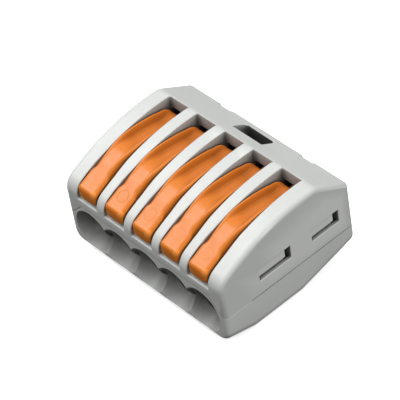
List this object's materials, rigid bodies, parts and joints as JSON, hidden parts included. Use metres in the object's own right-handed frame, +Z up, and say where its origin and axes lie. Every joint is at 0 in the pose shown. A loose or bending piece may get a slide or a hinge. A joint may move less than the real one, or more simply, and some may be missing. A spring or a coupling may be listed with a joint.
{
  "type": "lever wire connector",
  "caption": "Splicing connector with a grey two-shell housing; each orange lever lifts to open a spring clamp for a wire that enters the round hole in front of it.",
  "frame": {"origin": "centre of the bottom of the connector's overall box", "axes": "+X along the row of poles, -Y out of the wire entries, +Z up"},
  "size_m": [0.0272, 0.0204, 0.014],
  "materials": {
    "housing": "fine satin polyamide",
    "lever": "glossy moulded polyamide",
    "spring_steel": "rolled stainless strip",
    "tinned_bar": "matt tin plate on copper"
  },
  "bodies": {
    "housing": {"upper_housing": "housing", "lower_housing": "housing", "current_bar": "tinned_bar", "clamp_spring_1": "spring_steel", "clamp_spring_2": "spring_steel", "clamp_spring_3": "spring_steel", "clamp_spring_4": "spring_steel", "clamp_spring_5": "spring_steel"},
    "lever_1": {"lever_1": "lever"},
    "lever_2": {"lever_2": "lever"},
    "lever_3": {"lever_3": "lever"},
    "lever_4": {"lever_4": "lever"},
    "lever_5": {"lever_5": "lever"}
  },
  "joints": [
    {"name": "lever_1_hinge", "type": "hinge", "parent": "housing", "child": "lever_1", "pos_m": [-0.0096, 0.0031, 0.011], "axis": [-1, 0, 0], "range_deg": [0, 84], "deforming": ["clamp_spring_1"]},
    {"name": "lever_2_hinge", "type": "hinge", "parent": "housing", "child": "lever_2", "pos_m": [-0.0048, 0.0031, 0.011], "axis": [-1, 0, 0], "range_deg": [0, 84], "deforming": ["clamp_spring_2"]},
    {"name": "lever_3_hinge", "type": "hinge", "parent": "housing", "child": "lever_3", "pos_m": [0, 0.0031, 0.011], "axis": [-1, 0, 0], "range_deg": [0, 84], "deforming": ["clamp_spring_3"]},
    {"name": "lever_4_hinge", "type": "hinge", "parent": "housing", "child": "lever_4", "pos_m": [0.0048, 0.0031, 0.011], "axis": [-1, 0, 0], "range_deg": [0, 84], "deforming": ["clamp_spring_4"]},
    {"name": "lever_5_hinge", "type": "hinge", "parent": "housing", "child": "lever_5", "pos_m": [0.0096, 0.0031, 0.011], "axis": [-1, 0, 0], "range_deg": [0, 84], "deforming": ["clamp_spring_5"]}
  ]
}
